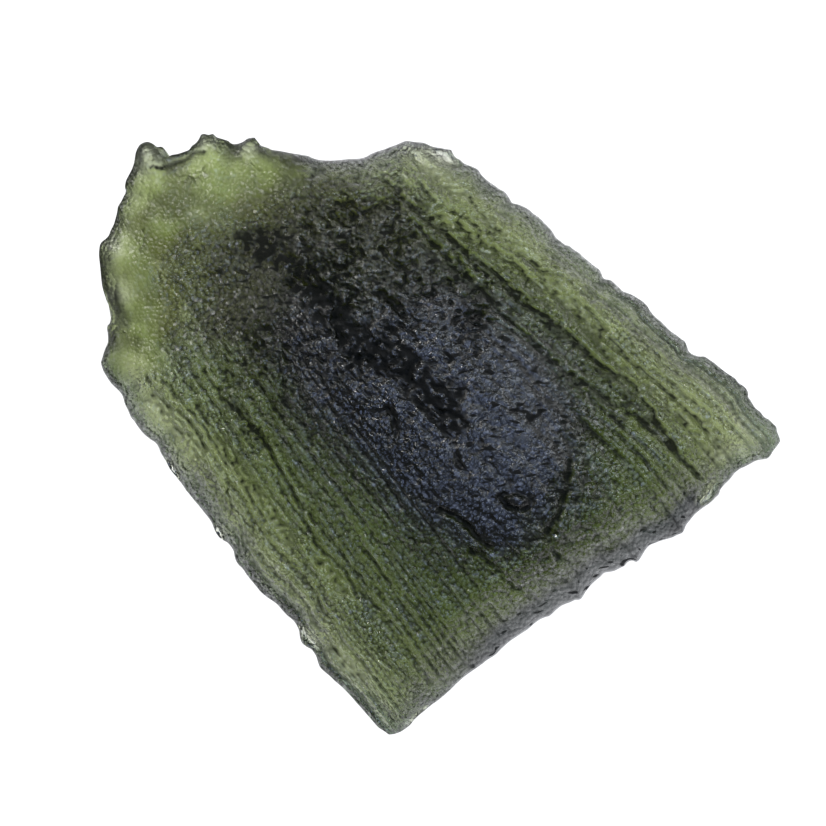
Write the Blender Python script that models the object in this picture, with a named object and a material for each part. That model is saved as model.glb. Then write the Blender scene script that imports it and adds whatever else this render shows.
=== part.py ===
"""A loose piece of moldavite: one flat, fluted plate of natural green glass.

The plate lies in the XY plane. Its flutes run from the upper left (-X, +Y) to the
lower right, fanning a little. The top faces +Z and the stone rests on a small flat
spot under its thickest part. Sizes in the lists are millimetres.
"""

import bmesh
import bpy
import numpy as np
from mathutils import Vector, noise

MM = 0.001

# Grid of the two faces: cells across the flutes and along them, closer at the left
ACROSS, ALONG = 80, 44
LEFT_CROWDING = 1.25
# The underside has one cell for this many of the top's, each way
COARSER = 2
# The outline's small bumps: rounds of smoothing to find them, and how fast they fade inwards
CALMING, BUMP_FADE = 40, 9

# Heights of the top, from the surface that the stone rests on
RIM_HEIGHT, RIM_BAND = 1.75, 0.5
SHOULDER_RISE, SHOULDER_REACH = 0.75, 4.5
CROWN_RISE = 3.1
# How the top rounds down to each side, as rise and reach: bulb, right, left, broken
EDGE_ROUNDS = [(0.85, 1.5), (1.0, 1.3), (1.0, 1.3), (1.9, 1.2)]

# Relief of the top, and the strip along the rim where it fades out
FLUTE_DEPTH, FLUTES, FLUTE_BENDS = 0.42, 36, 2.5
PEBBLE_HEIGHT, PEBBLE_SIZE = 0.16, 0.75
RELIEF_STRIP = 2.2

# The underside: how it bellies down from the rim, its relief, and the flat spot's depth
BELLY, BELLY_REACH, BELLY_EDGE = 1.25, 3.4, 1.2
UNDER_FLUTES, UNDER_LUMPS, LUMP_SIZE = 0.45, 0.35, 1.6
REST_DEPTH, REST_SHARE = 0.16, 0.45

# The thick crown: its middle, half length along the flutes, half width, and lean
CROWN_MIDDLE = (16.8, 16.0)
CROWN_HALF = (11.8, 7.3)
CROWN_LEAN = np.radians(-48)

# The smooth bulb at the upper left: its middle, half sizes, and how far it sinks
BULB_MIDDLE, BULB_HALF, BULB_DIP = (4.4, 25.2), (4.6, 5.4), 0.35

# The outline, measured from the leftmost point and from the lowest tip.
# End of the flutes where the bulb is: left corner, round the bulb, along the hollow
BULB_SIDE = [
    (0.10, 18.62), (0.35, 19.38), (0.45, 19.98), (0.60, 20.68), (0.40, 21.78),
    (0.10, 22.93), (0.00, 24.22), (0.20, 24.68), (0.75, 25.53), (1.10, 26.63),
    (1.35, 27.48), (1.75, 28.58), (2.00, 29.43), (2.45, 29.63), (2.90, 29.38),
    (3.50, 28.93), (4.25, 29.13), (4.85, 29.58), (5.25, 30.03), (5.70, 30.03),
    (6.15, 29.78), (6.90, 29.53), (7.60, 29.83), (8.15, 29.43), (9.55, 29.08),
    (11.05, 28.73), (12.55, 28.78), (13.90, 29.15), (15.25, 29.65), (16.25, 29.58),
    (17.60, 29.23),
]
# Long right side: from the hollow's end to the right corner
RIGHT_SIDE = [
    (17.60, 29.23), (18.05, 28.73), (18.75, 28.35), (19.30, 27.80), (20.05, 27.25),
    (20.55, 26.75), (20.95, 26.50), (21.70, 26.05), (22.35, 25.48), (23.05, 24.68),
    (23.50, 24.43), (24.20, 23.88), (25.00, 23.25), (25.20, 22.83), (25.75, 22.58),
    (26.15, 22.18), (26.95, 21.80), (27.55, 21.18), (28.30, 20.43), (29.30, 19.63),
    (29.50, 19.13), (30.25, 18.90), (31.05, 18.33), (31.80, 17.80), (32.45, 17.08),
    (32.85, 16.28), (33.70, 15.53), (34.05, 14.68),
]
# Long left side: from the left corner to the lowest tip
LEFT_SIDE = [
    (0.10, 18.62), (0.25, 18.13), (0.60, 17.58), (1.20, 16.88), (1.60, 15.88),
    (2.25, 15.03), (2.85, 14.58), (3.25, 13.83), (3.95, 12.78), (4.55, 11.98),
    (5.25, 11.13), (5.80, 10.18), (6.45, 9.58), (6.80, 8.83), (7.40, 7.98),
    (8.10, 7.13), (8.95, 6.48), (9.70, 5.73), (10.05, 4.88), (10.65, 4.23),
    (11.05, 3.38), (11.80, 2.68), (12.50, 2.03), (13.25, 1.18), (13.95, 0.38),
    (14.50, 0.00),
]
# Broken side across the flutes: from the lowest tip to the right corner
BROKEN_SIDE = [
    (14.50, 0.00), (15.30, 0.28), (15.95, 0.93), (17.15, 1.88), (18.30, 2.93),
    (19.40, 3.73), (20.55, 4.68), (21.70, 5.50), (22.55, 5.95), (23.20, 6.48),
    (24.05, 6.75), (24.55, 7.43), (25.25, 8.08), (25.75, 8.18), (26.45, 8.63),
    (27.10, 8.88), (27.55, 9.48), (28.30, 9.75), (29.15, 10.08), (29.35, 10.48),
    (29.80, 11.03), (30.55, 11.58), (31.05, 12.23), (31.70, 12.98), (32.55, 13.53),
    (33.35, 13.78), (33.70, 14.18), (34.05, 14.68),
]

# The deepest grooves and cracks: their routes, depth and half width
GROOVES = [
    # The long dark groove on the right, and the one beside it
    ([(14.3, 27.9), (15.8, 26.3), (17.6, 24.7), (19.5, 23.3), (21.0, 21.6), (23.6, 19.9),
      (25.5, 18.2), (27.2, 16.6), (28.5, 14.7), (30.0, 13.0)], 0.55, 0.30),
    ([(15.7, 25.7), (18.0, 23.3), (20.0, 21.0), (22.3, 19.0), (24.7, 17.3), (27.6, 15.0)],
     0.42, 0.30),
    # Shallower grooves out towards the right side
    ([(16.0, 27.6), (17.6, 26.1), (19.1, 24.7), (21.3, 22.5)], 0.30, 0.26),
    ([(24.3, 21.4), (26.4, 18.8), (28.8, 16.7), (30.2, 15.6)], 0.30, 0.26),
    # The long groove on the left, and two nearer the left side
    ([(5.3, 18.2), (7.0, 16.2), (8.4, 14.5), (9.7, 12.2), (10.6, 10.2), (12.0, 8.4),
      (12.9, 6.9)], 0.50, 0.30),
    ([(4.9, 16.5), (5.9, 14.9), (7.2, 12.6), (8.4, 10.8)], 0.35, 0.28),
    ([(2.4, 17.9), (3.3, 16.6), (5.0, 15.1), (5.3, 14.2)], 0.25, 0.26),
    # Crevices in the crown
    ([(12.1, 19.2), (14.1, 18.7), (15.5, 17.7), (17.1, 16.1), (18.0, 15.1)], 0.40, 0.35),
    ([(9.1, 24.4), (10.3, 22.6), (11.2, 22.1)], 0.35, 0.40),
    ([(11.4, 25.7), (12.3, 25.6), (13.3, 26.1)], 0.30, 0.35),
    # The groove low on the crown, and the hooked crack near the broken side
    ([(17.1, 11.2), (18.9, 10.0), (19.4, 9.0), (21.0, 7.2)], 0.35, 0.30),
    ([(23.6, 14.6), (23.3, 11.9), (22.4, 10.1), (23.0, 8.9)], 0.35, 0.28),
]

# Small raised lens beside the hooked crack: its middle, half sizes, height, moat
LENS_MIDDLE, LENS_HALF = (20.85, 11.7), (0.85, 0.5)
LENS_HEIGHT, LENS_MOAT = 0.22, 0.20


def clear_scene():
    for old in list(bpy.data.objects):
        bpy.data.objects.remove(old, do_unlink=True)


def glass(name, colour, roughness, ior):
    """Clear green natural glass."""
    material = bpy.data.materials.new(name)
    material.use_nodes = True
    shader = material.node_tree.nodes["Principled BSDF"]
    shader.inputs["Base Color"].default_value = (*colour, 1)
    shader.inputs["Roughness"].default_value = roughness
    shader.inputs["Metallic"].default_value = 0
    shader.inputs["IOR"].default_value = ior
    shader.inputs["Transmission Weight"].default_value = 1
    material.diffuse_color = (*colour, 1)
    return material


def along(points, shares):
    """The places that lie at these shares of a route's length."""
    points = np.array(points, float)
    steps = np.hypot(*np.diff(points, axis=0).T)
    walked = np.concatenate([[0], np.cumsum(steps)]) / steps.sum()
    return np.column_stack([np.interp(shares, walked, points[:, i]) for i in (0, 1)])


def softened(line, rounds):
    """The same line with its small bumps smoothed away and its ends kept."""
    line = line.copy()
    for _ in range(rounds):
        line[1:-1] = (line[:-2] + 2 * line[1:-1] + line[2:]) / 4
    return line


def bulb_share(u):
    """How far round the bulb side a flute starts, so that the flutes fan as they do."""
    return u + 2.36 * u * (1 - u) ** 5


def blend(u, v, top, bottom, left, right):
    """A sheet stretched between four edge lines."""
    corners = (
        (1 - u) * (1 - v) * top[0]
        + u * (1 - v) * top[-1]
        + (1 - u) * v * bottom[0]
        + u * v * bottom[-1]
    )
    between = (1 - v) * top[None] + v * bottom[None]
    across = (1 - u) * left[:, None] + u * right[:, None]
    return between + across - corners


def plan(cells_across, cells_along):
    """u, v and the place in plan of every grid point."""
    u = np.linspace(0, 1, cells_across + 1) ** LEFT_CROWDING
    v = np.linspace(0, 1, cells_along + 1)
    edges = (
        along(BULB_SIDE, bulb_share(u)),
        along(BROKEN_SIDE, u),
        along(LEFT_SIDE, v),
        along(RIGHT_SIDE, v),
    )
    calm = [softened(edge, CALMING) for edge in edges]
    rough = [edge - soft for edge, soft in zip(edges, calm)]
    u, v = u[None, :, None], v[:, None, None]
    place = blend(u, v, *calm)
    place = place + (1 - v) ** BUMP_FADE * rough[0][None] + v**BUMP_FADE * rough[1][None]
    place = place + (1 - u) ** BUMP_FADE * rough[2][:, None] + u**BUMP_FADE * rough[3][:, None]
    return u[..., 0], v[..., 0], place


def distance_to(place, route):
    """How far each place is from a route."""
    best = np.full(place.shape[:-1], np.inf)
    route = np.array(route, float)
    for start, end in zip(route[:-1], route[1:]):
        run = end - start
        share = np.clip(((place - start) @ run) / (run @ run), 0, 1)
        best = np.minimum(best, np.linalg.norm(place - start - share[..., None] * run, axis=-1))
    return best


def side_distances(place):
    return [distance_to(place, side) for side in (BULB_SIDE, RIGHT_SIDE, LEFT_SIDE, BROKEN_SIDE)]


def soft_nearest(sides):
    """The distance to the rim, without the creases where two sides are equally far."""
    return sum((side + 1e-9) ** -4.0 for side in sides) ** -0.25


def rounded(distance, radius):
    """A quarter round: 0 at the rim, 1 from the radius inwards."""
    t = np.clip(distance / radius, 0, 1)
    return np.sqrt(1 - (1 - t) ** 2)


def crown(place):
    """1 over the thick middle, falling to 0 round it."""
    offset = place - CROWN_MIDDLE
    cos, sin = np.cos(CROWN_LEAN), np.sin(CROWN_LEAN)
    length = (offset[..., 0] * cos + offset[..., 1] * sin) / CROWN_HALF[0]
    width = (offset[..., 1] * cos - offset[..., 0] * sin) / CROWN_HALF[1]
    reach = length**2 + width**2
    return 1 / (1 + reach**1.7)


def grain(place, size, seed):
    """Smooth lumpy noise, about -1 to 1."""
    flat = (place / size).reshape(-1, 2)
    values = [noise.noise(Vector((x, y, seed))) for x, y in flat]
    return np.array(values).reshape(place.shape[:-1])


def flutes(u, v, place):
    """Parallel ridges along v that deepen away from the bulb and are calmer on the crown."""
    spread = np.stack(np.broadcast_arrays(u * FLUTES, v * FLUTE_BENDS), axis=-1)
    return grain(spread, 1, 3.7) * (0.35 + 0.65 * v) * (1 - 0.6 * crown(place))


def bulb(place):
    """1 over the smooth bulb, falling to 0 at the ledge round it."""
    reach = np.hypot(*np.moveaxis((place - BULB_MIDDLE) / BULB_HALF, -1, 0))
    return 1 / (1 + reach**6)


def top_height(u, v, place, sides):
    rim = soft_nearest(sides)
    near = np.array([1 / (side + 0.05) ** 3 for side in sides])
    rise, reach = (np.tensordot(part, near, 1) / near.sum(axis=0) for part in zip(*EDGE_ROUNDS))
    height = RIM_HEIGHT + RIM_BAND / 2 + rise * rounded(rim, reach)
    height = height + SHOULDER_RISE * np.tanh(rim / SHOULDER_REACH)
    thick, smooth = crown(place), bulb(place)
    inside = rounded(rim, RELIEF_STRIP)
    height = height + CROWN_RISE * thick * inside * (1 - smooth) - BULB_DIP * smooth * inside
    height = height + FLUTE_DEPTH * flutes(u, v, place) * inside * (1 - 0.8 * smooth)
    pebbles = grain(place, PEBBLE_SIZE, 8.1) * (0.4 + thick) * (1 - 0.5 * smooth)
    height = height + PEBBLE_HEIGHT * pebbles * inside
    for route, depth, half in GROOVES:
        away = distance_to(place, route) / half
        height = height - depth * np.exp(-(away**2)) * inside
        height = height + 0.3 * depth * np.exp(-((away - 2) ** 2)) * inside
    offset = (place - LENS_MIDDLE) / LENS_HALF
    reach = np.hypot(offset[..., 0], offset[..., 1])
    height = height + LENS_HEIGHT * np.exp(-(reach**4))
    return height - LENS_MOAT * np.exp(-(((reach - 1.3) / 0.35) ** 2))


def bottom_height(u, v, place, sides):
    rim = soft_nearest(sides)
    edge = rounded(rim, BELLY_EDGE)
    height = RIM_HEIGHT - RIM_BAND / 2 * (1 - edge) - (RIM_HEIGHT - BELLY) * edge
    height = height - BELLY * np.tanh(rim / BELLY_REACH)
    thick = crown(place)
    relief = UNDER_FLUTES * flutes(u, v, place) * (1 - 0.8 * bulb(place))
    relief = relief + UNDER_LUMPS * grain(place, LUMP_SIZE, 5.3)
    height = height + relief * rounded(rim, RELIEF_STRIP) * (1 - thick)
    height = height - REST_DEPTH * (thick - REST_SHARE)
    # The stone has settled on one small flat spot under the crown
    return np.maximum(height, 0)


def rim_walk(cells_across, cells_along):
    """Grid places round the rim, anticlockwise seen from above."""
    down = [(row, 0) for row in range(cells_along)]
    right = [(cells_along, column) for column in range(cells_across)]
    up = [(row, cells_across) for row in range(cells_along, 0, -1)]
    back = [(0, column) for column in range(cells_across, 0, -1)]
    return down + right + up + back


def face_points(bm, place, height):
    """One vertex for each grid point, kept in rows."""
    return [
        [bm.verts.new((x, y, z)) for (x, y), z in zip(row, heights)]
        for row, heights in zip(place, height)
    ]


def fill_cells(bm, rows, upward):
    for row in range(len(rows) - 1):
        for column in range(len(rows[0]) - 1):
            a, b = rows[row][column], rows[row + 1][column]
            c, d = rows[row + 1][column + 1], rows[row][column + 1]
            bm.faces.new((a, b, c, d) if upward else (d, c, b, a))


def close_rim(bm, top, bottom, fine, coarse):
    """The band between the fine edge of the top and the coarser edge of the underside."""
    for index, (row, column) in enumerate(coarse):
        next_row, next_column = coarse[(index + 1) % len(coarse)]
        low, next_low = bottom[row][column], bottom[next_row][next_column]
        high = [top[r][c] for r, c in (fine[(2 * index + k) % len(fine)] for k in range(3))]
        bm.faces.new((low, high[1], high[0]))
        bm.faces.new((low, next_low, high[1]))
        bm.faces.new((next_low, high[2], high[1]))


def stone(name, material):
    top_u, top_v, top_place = plan(ACROSS, ALONG)
    sides = side_distances(top_place)
    top = top_height(top_u, top_v, top_place, sides)
    every = slice(None, None, COARSER)
    low_u, low_v = top_u[:, every], top_v[every]
    low_place = top_place[every, every]
    low = bottom_height(low_u, low_v, low_place, [side[every, every] for side in sides])

    bm = bmesh.new()
    top_rows = face_points(bm, top_place, top)
    low_rows = face_points(bm, low_place, low)
    fill_cells(bm, top_rows, upward=True)
    fill_cells(bm, low_rows, upward=False)
    fine = rim_walk(ACROSS, ALONG)
    coarse = rim_walk(ACROSS // COARSER, ALONG // COARSER)
    close_rim(bm, top_rows, low_rows, fine, coarse)
    bmesh.ops.triangulate(bm, faces=bm.faces[:])
    bmesh.ops.recalc_face_normals(bm, faces=bm.faces[:])

    # The origin is the middle of the stone in plan, on the surface under it
    points = np.array([vertex.co for vertex in bm.verts])
    middle = (points.min(axis=0) + points.max(axis=0)) / 2
    bmesh.ops.translate(bm, verts=bm.verts[:], vec=(-middle[0], -middle[1], -points[:, 2].min()))
    bmesh.ops.scale(bm, verts=bm.verts[:], vec=(MM, MM, MM))

    mesh = bpy.data.meshes.new(name)
    bm.to_mesh(mesh)
    bm.free()
    mesh.shade_smooth()
    mesh.materials.append(material)
    made = bpy.data.objects.new(name, mesh)
    bpy.context.scene.collection.objects.link(made)
    return made


clear_scene()
stone("moldavite", glass("green glass", (0.30, 0.40, 0.14), 0.25, 1.49))
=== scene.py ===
# %% [markdown]
# # A moldavite, cell by cell
#
# The stone is one loose plate of natural green glass, 34 mm long. Acid soil has etched it,
# so its top carries flutes, grooves and a skin of tiny pits, and its edges glow green where
# they are thin while the thick middle looks nearly black.
#
# Two things make most of that look: the real shape, thickness included, and plain glass
# that takes light away as it passes. So most of this file is about shape, and most of the
# colour comes from the depth of glass behind each spot. The surface adds tinted skin, a
# sandy sheen and painted light: painted shade in hollows, gaps and between grains, ridges
# left plain as a painted highlight, a rim painted grey and a break band painted dark.
#
# The imported solid is loaded first. It fixes the place and the size.

import bpy
import numpy as np
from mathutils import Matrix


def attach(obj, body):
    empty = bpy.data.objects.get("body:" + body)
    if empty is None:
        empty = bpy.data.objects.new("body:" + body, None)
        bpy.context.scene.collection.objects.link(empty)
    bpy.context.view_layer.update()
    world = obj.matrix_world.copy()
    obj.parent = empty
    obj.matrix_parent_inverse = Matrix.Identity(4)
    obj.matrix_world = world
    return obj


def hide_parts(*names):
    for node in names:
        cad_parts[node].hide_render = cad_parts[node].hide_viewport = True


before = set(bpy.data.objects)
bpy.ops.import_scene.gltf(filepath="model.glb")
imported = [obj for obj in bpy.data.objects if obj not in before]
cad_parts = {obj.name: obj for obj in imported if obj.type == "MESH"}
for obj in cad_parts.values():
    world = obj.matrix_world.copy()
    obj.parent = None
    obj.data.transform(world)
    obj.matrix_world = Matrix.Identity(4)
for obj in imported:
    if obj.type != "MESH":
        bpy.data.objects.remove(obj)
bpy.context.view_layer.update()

# %% [markdown]
# ## Units
#
# Sizes here are in millimetres. Plan places count x from the stone's leftmost point and y
# from its lowest tip. Only the last step turns them into metres about the middle of the box.

# %% Millimetres
MM = 0.001
STONE_LENGTH, STONE_WIDTH = 34.05, 30.03
print("the stone is", STONE_LENGTH, "by", STONE_WIDTH, "mm")

# %% [markdown]
# ## The outline
#
# The plate has four sides. The bulb side goes round the smooth upper-left lobe and along a
# hollow. The two long sides follow the flutes. The fourth is a break across them. Each
# point is a place where the real rim turns.
#
# A Catmull-Rom curve passes through every point and is smooth between them, like the rim
# between its chips.

# %% Rim points, side by side
BULB_SIDE = [
    (0.1, 18.62), (0.25, 19.12), (0.35, 19.38), (0.45, 19.58), (0.45, 19.98), (0.4, 20.38),
    (0.55, 20.58), (0.62, 20.78), (0.55, 21.08), (0.5, 21.38), (0.4, 21.78), (0.25, 22.08),
    (0.15, 22.48), (0.1, 22.93), (0.05, 23.48), (0, 23.98), (0.05, 24.48), (0.2, 24.68),
    (0.45, 24.88), (0.6, 25.23), (0.75, 25.53), (0.9, 26.08), (0.95, 26.38), (1.1, 26.63),
    (1.25, 26.93), (1.35, 27.13), (1.3, 27.38), (1.35, 27.68), (1.5, 27.98), (1.65, 28.28),
    (1.75, 28.58), (1.8, 28.88), (1.85, 29.13), (2, 29.43), (2.2, 29.58), (2.45, 29.63),
    (2.7, 29.53), (2.9, 29.38), (3.15, 29.38), (3.35, 29.18), (3.5, 28.93), (3.65, 28.98),
    (3.95, 29.03), (4.25, 29.13), (4.5, 29.23), (4.65, 29.43), (4.85, 29.58), (5, 29.78),
    (5.1, 29.98), (5.25, 30.03), (5.5, 29.98), (5.7, 30.03), (5.85, 29.88), (6.15, 29.78),
    (6.45, 29.68), (6.65, 29.53), (6.9, 29.53), (7.2, 29.63), (7.4, 29.78), (7.6, 29.83),
    (7.8, 29.83), (7.9, 29.58), (8.15, 29.43), (8.45, 29.33), (8.65, 29.23), (9.05, 29.18),
    (9.55, 29.08), (10.05, 29), (10.45, 28.93), (10.75, 28.8), (11.05, 28.73), (11.55, 28.7),
    (12.05, 28.73), (12.55, 28.78), (13.05, 28.8), (13.35, 28.88), (13.6, 29.03), (13.9, 29.15),
    (14.25, 29.25), (14.55, 29.38), (14.85, 29.48), (15.25, 29.65), (15.45, 29.68), (15.75, 29.63),
    (16.25, 29.58), (16.65, 29.4), (17.05, 29.33), (17.6, 29.23),
]
RIGHT_SIDE = [
    (17.6, 29.23), (17.8, 28.88), (18.05, 28.73), (18.25, 28.55), (18.5, 28.45), (18.75, 28.35),
    (18.95, 28.23), (19.1, 28), (19.3, 27.8), (19.5, 27.63), (19.8, 27.43), (20.05, 27.25),
    (20.25, 27.15), (20.4, 26.98), (20.55, 26.75), (20.65, 26.58), (20.95, 26.5), (21.25, 26.38),
    (21.5, 26.23), (21.7, 26.05), (21.95, 25.88), (22.15, 25.7), (22.35, 25.48), (22.55, 25.28),
    (22.7, 25.08), (22.85, 24.83), (23.05, 24.68), (23.3, 24.48), (23.5, 24.43), (23.75, 24.23),
    (24, 24.08), (24.2, 23.88), (24.45, 23.68), (24.75, 23.43), (25, 23.25), (25.1, 23.08),
    (25.2, 22.83), (25.35, 22.75), (25.55, 22.73), (25.75, 22.58), (25.95, 22.4), (26.15, 22.18),
    (26.35, 22.1), (26.65, 21.98), (26.95, 21.8), (27.2, 21.63), (27.4, 21.43), (27.55, 21.18),
    (27.8, 20.88), (28.05, 20.68), (28.3, 20.43), (28.55, 20.18), (28.85, 19.98), (29.1, 19.78),
    (29.3, 19.63), (29.4, 19.38), (29.5, 19.13), (29.75, 18.98), (30, 18.9), (30.25, 18.9),
    (30.45, 18.78), (30.75, 18.58), (31.05, 18.33), (31.3, 18.13), (31.6, 17.93), (31.8, 17.8),
    (31.95, 17.6), (32.2, 17.43), (32.35, 17.28), (32.45, 17.08), (32.45, 16.88), (32.55, 16.73),
    (32.7, 16.48), (32.85, 16.28), (33.05, 16.13), (33.25, 15.88), (33.5, 15.73), (33.7, 15.53),
    (33.85, 15.38), (33.9, 15.13), (34, 14.88), (34.05, 14.68),
]
LEFT_SIDE = [
    (0.1, 18.62), (0.15, 18.38), (0.25, 18.13), (0.4, 17.88), (0.6, 17.58), (0.85, 17.33),
    (1.05, 17.13), (1.2, 16.88), (1.3, 16.53), (1.45, 16.23), (1.6, 15.88), (1.8, 15.63),
    (2, 15.33), (2.25, 15.03), (2.55, 14.78), (2.85, 14.58), (3, 14.33), (3.1, 14.08),
    (3.25, 13.83), (3.4, 13.58), (3.55, 13.28), (3.75, 13.03), (3.95, 12.78), (4.15, 12.53),
    (4.35, 12.23), (4.55, 11.98), (4.75, 11.73), (5.05, 11.38), (5.25, 11.13), (5.45, 10.88),
    (5.65, 10.58), (5.8, 10.18), (6, 9.88), (6.2, 9.73), (6.45, 9.58), (6.65, 9.33), (6.75, 9.13),
    (6.8, 8.83), (6.95, 8.53), (7.2, 8.28), (7.4, 7.98), (7.6, 7.73), (7.85, 7.43), (8.1, 7.13),
    (8.4, 6.88), (8.7, 6.68), (8.95, 6.48), (9.2, 6.18), (9.45, 5.93), (9.7, 5.73), (9.85, 5.53),
    (10, 5.23), (10.05, 4.88), (10.15, 4.58), (10.4, 4.38), (10.65, 4.23), (10.85, 3.93),
    (10.95, 3.63), (11.05, 3.38), (11.3, 3.13), (11.6, 2.88), (11.8, 2.68), (12.15, 2.38),
    (12.5, 2.03), (12.85, 1.63), (13.25, 1.18), (13.6, 0.78), (13.95, 0.38), (14.25, 0.18),
    (14.5, 0),
]
BROKEN_SIDE = [
    (14.5, 0), (14.75, 0.03), (15.05, 0.13), (15.3, 0.28), (15.55, 0.48), (15.75, 0.73),
    (15.95, 0.93), (16.25, 1.18), (16.55, 1.43), (16.9, 1.68), (17.15, 1.88), (17.55, 2.23),
    (17.9, 2.58), (18.3, 2.93), (18.65, 3.18), (19.15, 3.53), (19.4, 3.73), (19.8, 3.98),
    (20.15, 4.33), (20.55, 4.68), (20.8, 4.85), (21.15, 5.08), (21.45, 5.28), (21.7, 5.5),
    (21.95, 5.7), (22.25, 5.85), (22.55, 5.95), (22.9, 6.28), (23.2, 6.48), (23.6, 6.63),
    (23.8, 6.73), (24.05, 6.75), (24.2, 6.93), (24.35, 7.18), (24.55, 7.43), (24.8, 7.68),
    (25.05, 7.88), (25.25, 8.08), (25.5, 8.13), (25.75, 8.18), (26, 8.3), (26.25, 8.43),
    (26.45, 8.63), (26.65, 8.7), (26.85, 8.63), (27, 8.73), (27.1, 8.88), (27.25, 9.13),
    (27.35, 9.28), (27.55, 9.48), (27.8, 9.58), (28.05, 9.68), (28.3, 9.75), (28.65, 9.85),
    (28.9, 9.98), (29.15, 10.08), (29.25, 10.23), (29.35, 10.48), (29.55, 10.73), (29.8, 11.03),
    (30.05, 11.23), (30.25, 11.38), (30.55, 11.58), (30.8, 11.83), (31, 12.03), (31.05, 12.23),
    (31.25, 12.48), (31.5, 12.73), (31.7, 12.98), (31.95, 13.23), (32.25, 13.38), (32.55, 13.53),
    (32.9, 13.71), (33.35, 13.78), (33.55, 13.93), (33.7, 14.18), (33.9, 14.43), (34.05, 14.68),
]
print("rim points:", sum(map(len, (BULB_SIDE, RIGHT_SIDE, LEFT_SIDE, BROKEN_SIDE))))

# %% A smooth curve through rim points
def smooth_route(points, steps=6):
    """A Catmull-Rom curve through the points, as many short straight runs."""
    points = np.array(points, float)
    before = np.vstack([2 * points[0] - points[1], points[:-1]])
    after = np.vstack([points[1:], 2 * points[-1] - points[-2]])
    slope = (after - before) / 2
    t = (np.arange(steps) / steps)[None, :, None]
    start, end = points[:-1, None], points[1:, None]
    leave, arrive = slope[:-1, None], slope[1:, None]
    curve = (
        (2 * t**3 - 3 * t**2 + 1) * start
        + (t**3 - 2 * t**2 + t) * leave
        + (3 * t**2 - 2 * t**3) * end
        + (t**3 - t**2) * arrive
    )
    return np.vstack([curve.reshape(-1, 2), points[-1]])


def places_along(route, shares):
    """The places that lie at these shares of a route's length."""
    steps = np.hypot(*np.diff(route, axis=0).T)
    walked = np.concatenate([[0], np.cumsum(steps)]) / steps.sum()
    return np.column_stack([np.interp(shares, walked, route[:, i]) for i in (0, 1)])


SIDES = [smooth_route(side) for side in (BULB_SIDE, RIGHT_SIDE, LEFT_SIDE, BROKEN_SIDE)]
print("length of each side in mm:", *(np.hypot(*np.diff(s, axis=0).T).sum().round(1) for s in SIDES))

# %% [markdown]
# ## A sheet stretched between the sides
#
# A square grid cut to the outline would cross the flutes at an angle and have a ragged edge.
# A sheet blended between the four sides has the outline itself for its edge, and one of its
# directions follows the flutes. So u counts across the flutes, from the left side to the
# right, and v counts along them, from the bulb to the break.
#
# The flutes fan a little. Where each one starts on the bulb side decides its direction, so
# a small formula moves the starts round the bulb.

# %% The plan grid
ACROSS, ALONG = 284, 272
LEFT_CROWDING = 1.25
START_SHIFT = 2.36
BUMP_FADE = 9
CALMING_ROUNDS = 500


def bulb_share(u):
    """How far round the bulb side a flute starts."""
    return u + START_SHIFT * u * (1 - u) ** 5


def calmed(line):
    """The same line without its small bumps, its ends kept."""
    line = line.copy()
    for _ in range(CALMING_ROUNDS):
        line[1:-1] = (line[:-2] + 2 * line[1:-1] + line[2:]) / 4
    return line


def stretched(u, v, bulb, broken, left, right):
    """A sheet blended between four edge lines that meet at its corners."""
    corners = (
        (1 - u) * (1 - v) * bulb[0] + u * (1 - v) * bulb[-1]
        + (1 - u) * v * broken[0] + u * v * broken[-1]
    )
    between_ends = (1 - v) * bulb[None] + v * broken[None]
    between_sides = (1 - u) * left[:, None] + u * right[:, None]
    return between_ends + between_sides - corners


u_line = np.linspace(0, 1, ACROSS + 1) ** LEFT_CROWDING
v_line = np.linspace(0, 1, ALONG + 1)
edges = (
    places_along(SIDES[0], bulb_share(u_line)),
    places_along(SIDES[3], u_line),
    places_along(SIDES[2], v_line),
    places_along(SIDES[1], v_line),
)
calm = [calmed(edge) for edge in edges]
bulb_bumps, broken_bumps, left_bumps, right_bumps = (e - c for e, c in zip(edges, calm))
U, V = u_line[None, :, None], v_line[:, None, None]
PLACE = stretched(U, V, *calm)
PLACE = PLACE + (1 - V) ** BUMP_FADE * bulb_bumps[None] + V**BUMP_FADE * broken_bumps[None]
PLACE = PLACE + (1 - U) ** BUMP_FADE * left_bumps[:, None] + U**BUMP_FADE * right_bumps[:, None]
U, V = np.broadcast_arrays(U[..., 0], V[..., 0])
print("plan grid:", PLACE.shape, "cells about", round(STONE_LENGTH / ACROSS, 3), "mm")

# %% [markdown]
# ## Noise made by hand
#
# Etched glass is irregular, but not random: its pits have sizes and its ridges have a
# direction. Two kinds of noise cover it. Soft noise gives rolling bumps, and its absolute
# value gives round backs with sharp creases between them. Cell noise measures the distance
# to scattered points, which gives round pits or, turned over, round pebbles.
#
# Both are worked out for all grid points at once, from whole-number hashes, so each run
# gives the same stone.

# %% Soft noise and cell noise
def scattered(column, row, seed):
    """A steady pseudo-random number from 0 to 1 for each whole-number spot."""
    mixed = (column * 374761393 + row * 668265263 + seed * 974634777) & 0xFFFFFFFF
    mixed = ((mixed ^ (mixed >> 13)) * 1274126177) & 0xFFFFFFFF
    mixed = ((mixed ^ (mixed >> 16)) * 2246822519) & 0xFFFFFFFF
    return (mixed ^ (mixed >> 15)) / 0xFFFFFFFF


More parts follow.
